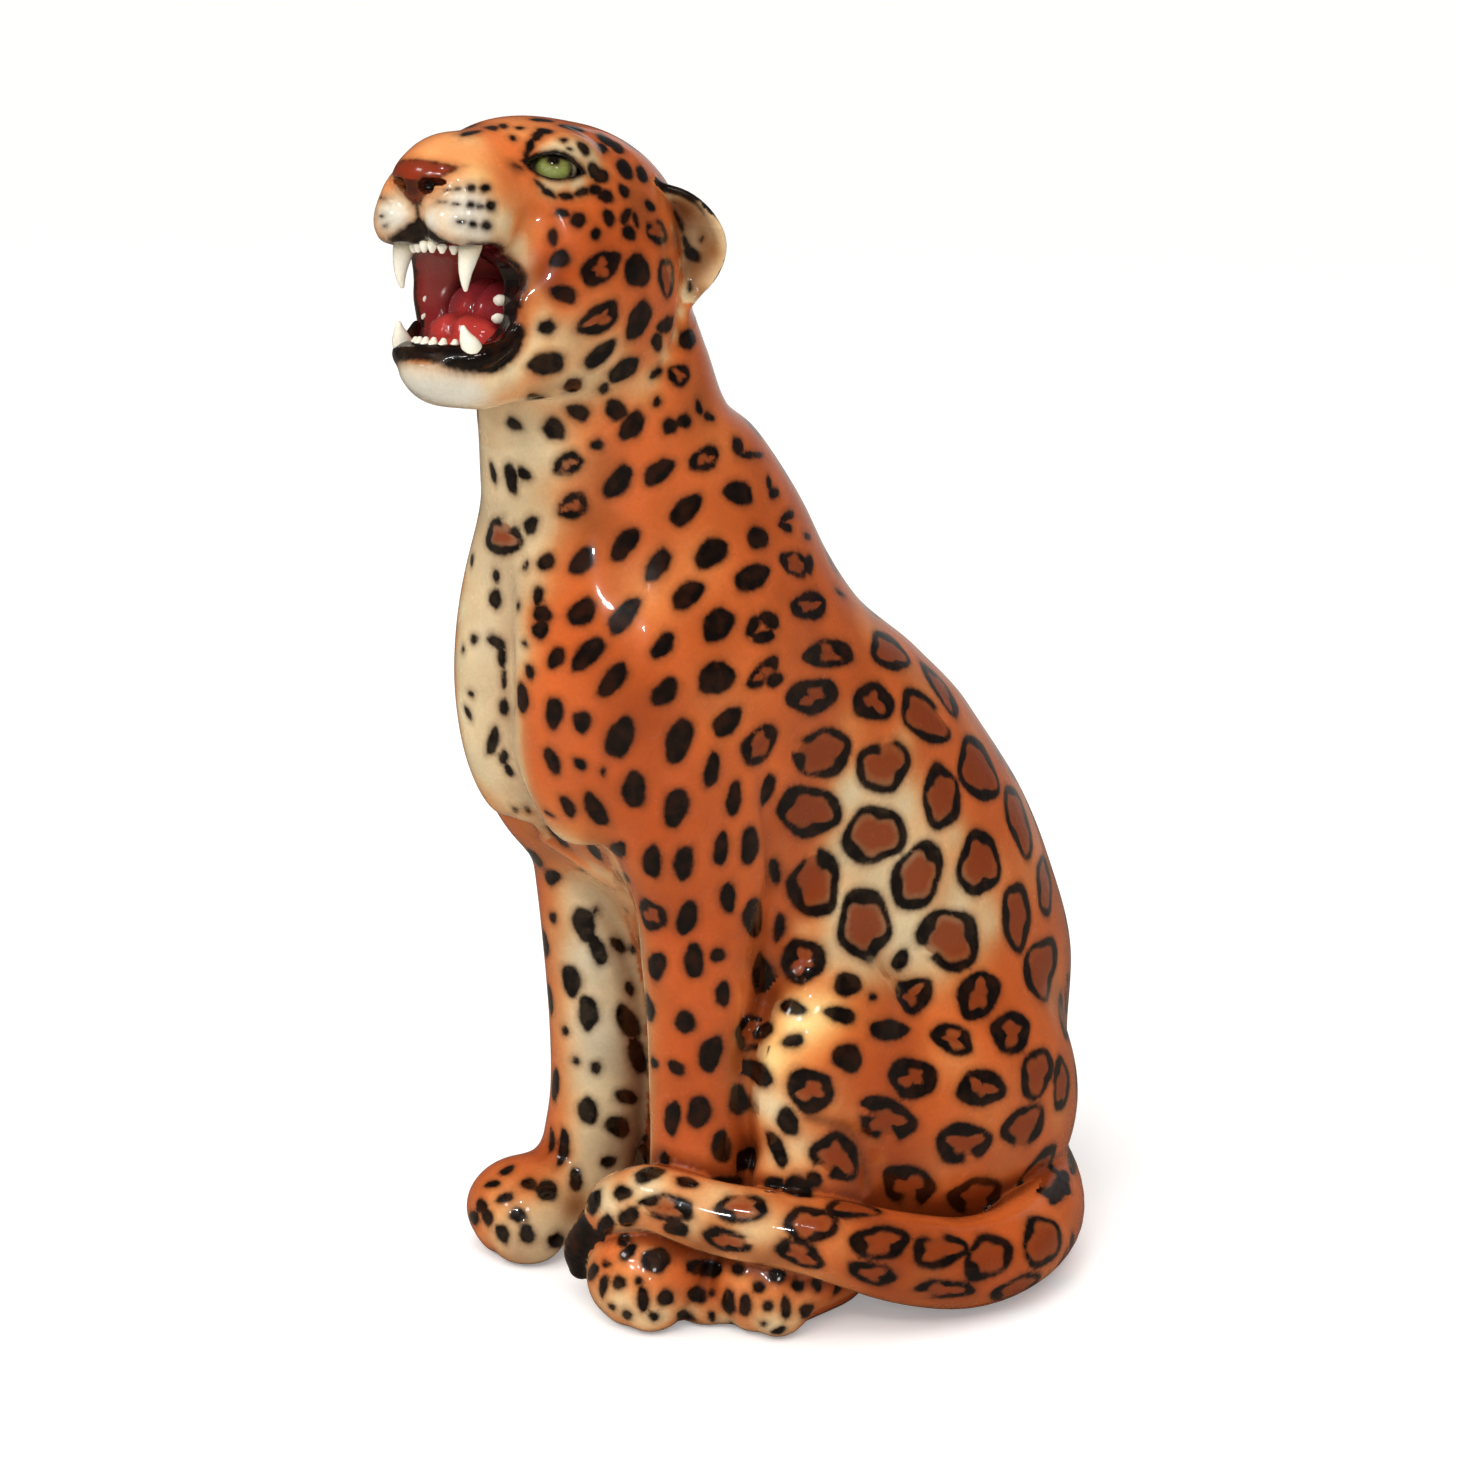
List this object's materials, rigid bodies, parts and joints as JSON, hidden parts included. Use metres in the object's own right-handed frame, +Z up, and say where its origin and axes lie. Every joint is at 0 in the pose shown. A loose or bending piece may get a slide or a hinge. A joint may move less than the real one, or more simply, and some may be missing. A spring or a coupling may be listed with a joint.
{
  "type": "ceramic animal statue",
  "caption": "Glazed ceramic statue of a sitting leopard with an open mouth, hollow cast in several pieces and luted together, standing on a flat underside.",
  "frame": {"origin": "on the flat underside, near the middle of the footprint", "axes": "+Z up, the animal faces -Y, its left side is +X"},
  "size_m": [0.4194, 0.6118, 0.8614],
  "materials": {
    "orange_glaze": "gloss",
    "cream_glaze": "gloss",
    "maroon_glaze": "gloss",
    "red_glaze": "gloss",
    "tooth_glaze": "gloss",
    "green_eye_glaze": "gloss",
    "bisque": "matte"
  },
  "bodies": {
    "root": {"base_slab": "bisque", "torso_shell": "orange_glaze", "left_foreleg": "orange_glaze", "right_foreleg": "orange_glaze", "left_hind_paw": "orange_glaze", "right_hind_paw": "orange_glaze", "tail": "orange_glaze", "head_shell": "orange_glaze", "lower_jaw": "cream_glaze", "mouth_lining": "maroon_glaze", "tongue": "red_glaze", "left_ear": "orange_glaze", "right_ear": "orange_glaze", "left_eye": "green_eye_glaze", "right_eye": "green_eye_glaze", "upper_left_fang": "tooth_glaze", "upper_right_fang": "tooth_glaze", "lower_left_fang": "tooth_glaze", "lower_right_fang": "tooth_glaze", "upper_incisors": "tooth_glaze", "lower_incisors": "tooth_glaze", "left_cheek_teeth": "tooth_glaze", "right_cheek_teeth": "tooth_glaze"}
  },
  "joints": []
}
